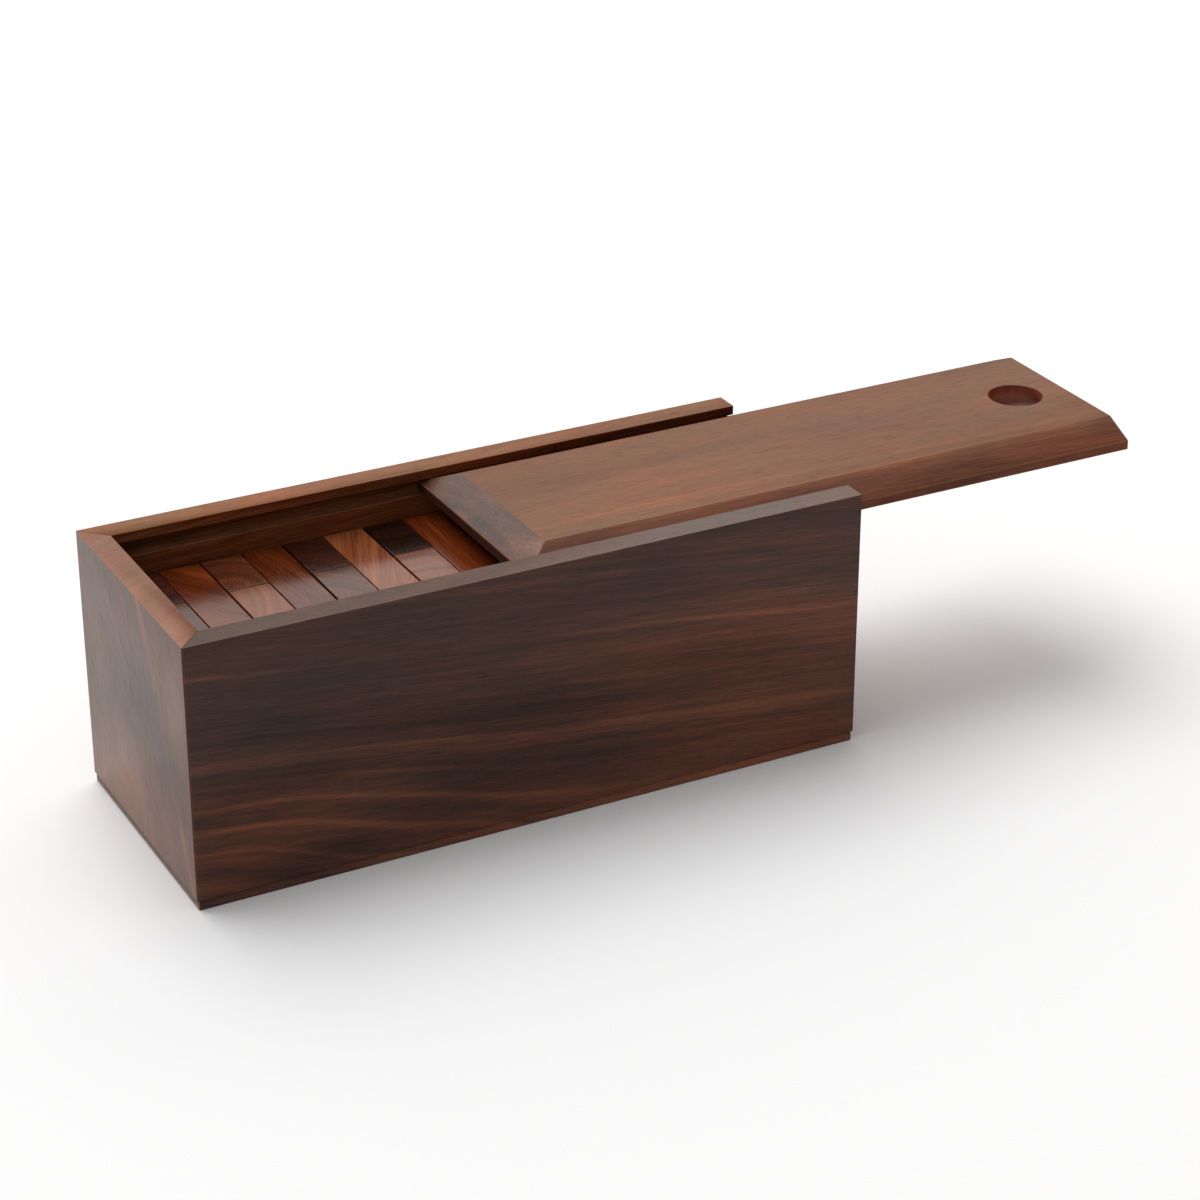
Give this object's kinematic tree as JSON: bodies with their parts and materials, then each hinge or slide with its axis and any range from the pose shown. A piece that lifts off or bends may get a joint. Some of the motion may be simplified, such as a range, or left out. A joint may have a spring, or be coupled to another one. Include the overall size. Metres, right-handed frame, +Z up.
{
  "type": "sliding-lid wooden box of tower blocks",
  "caption": "Long hardwood box with mitred corners, a grooved sliding lid with bevelled edges and a round finger recess, packed with loose tower-building blocks.",
  "frame": {"origin": "centre of the case's underside, on the surface that it stands on", "axes": "+X along the case's length, the way the lid pulls out; +Z up; Y across the case"},
  "size_m": [0.3583, 0.096, 0.094],
  "materials": {
    "case_wood": "dark rosewood, wax-polished, semi-gloss, grain along the length",
    "end_wood": "dark rosewood, wax-polished, semi-gloss",
    "base_wood": "dark rosewood, satin",
    "lid_wood": "mid-brown rosewood, satin, grain along the length",
    "block_wood_dark": "near-black heartwood, lacquered, glossy",
    "block_wood_brown": "brown rosewood, lacquered, glossy",
    "block_wood_red": "red-brown rosewood, lacquered, glossy",
    "block_wood_tan": "light orange-brown rosewood, lacquered, glossy"
  },
  "bodies": {
    "case": {"front_wall": "case_wood", "back_wall": "case_wood", "left_end_wall": "end_wood", "right_end_wall": "end_wood", "base_board": "base_wood", "block_01_front": "block_wood_red", "block_01_middle": "block_wood_dark", "block_01_back": "block_wood_dark", "block_02_bottom": "block_wood_tan", "block_02_middle": "block_wood_brown", "block_02_top": "block_wood_red", "block_03_front": "block_wood_brown", "block_03_middle": "block_wood_tan", "block_03_back": "block_wood_brown", "block_04_bottom": "block_wood_dark", "block_04_middle": "block_wood_tan", "block_04_top": "block_wood_red", "block_05_front": "block_wood_red", "block_05_middle": "block_wood_brown", "block_05_back": "block_wood_dark", "block_06_bottom": "block_wood_brown", "block_06_middle": "block_wood_red", "block_06_top": "block_wood_tan", "block_07_front": "block_wood_tan", "block_07_middle": "block_wood_tan", "block_07_back": "block_wood_dark", "block_08_bottom": "block_wood_dark", "block_08_middle": "block_wood_brown", "block_08_top": "block_wood_red", "block_09_front": "block_wood_dark", "block_09_middle": "block_wood_red", "block_09_back": "block_wood_brown", "block_10_bottom": "block_wood_tan", "block_10_middle": "block_wood_dark", "block_10_top": "block_wood_brown", "block_11_front": "block_wood_red", "block_11_middle": "block_wood_tan", "block_11_back": "block_wood_dark", "block_12_bottom": "block_wood_brown", "block_12_middle": "block_wood_brown", "block_12_top": "block_wood_tan", "block_13_front": "block_wood_tan", "block_13_middle": "block_wood_red", "block_13_back": "block_wood_red", "block_14_bottom": "block_wood_dark", "block_14_middle": "block_wood_brown", "block_14_top": "block_wood_brown", "block_15_front": "block_wood_red", "block_15_middle": "block_wood_dark", "block_15_back": "block_wood_tan"},
    "lid": {"sliding_lid": "lid_wood"}
  },
  "joints": [
    {"name": "lid_slide", "type": "slide", "parent": "case", "child": "lid", "axis": [1, 0, 0], "range_m": [-0.1143, 0.13]}
  ]
}
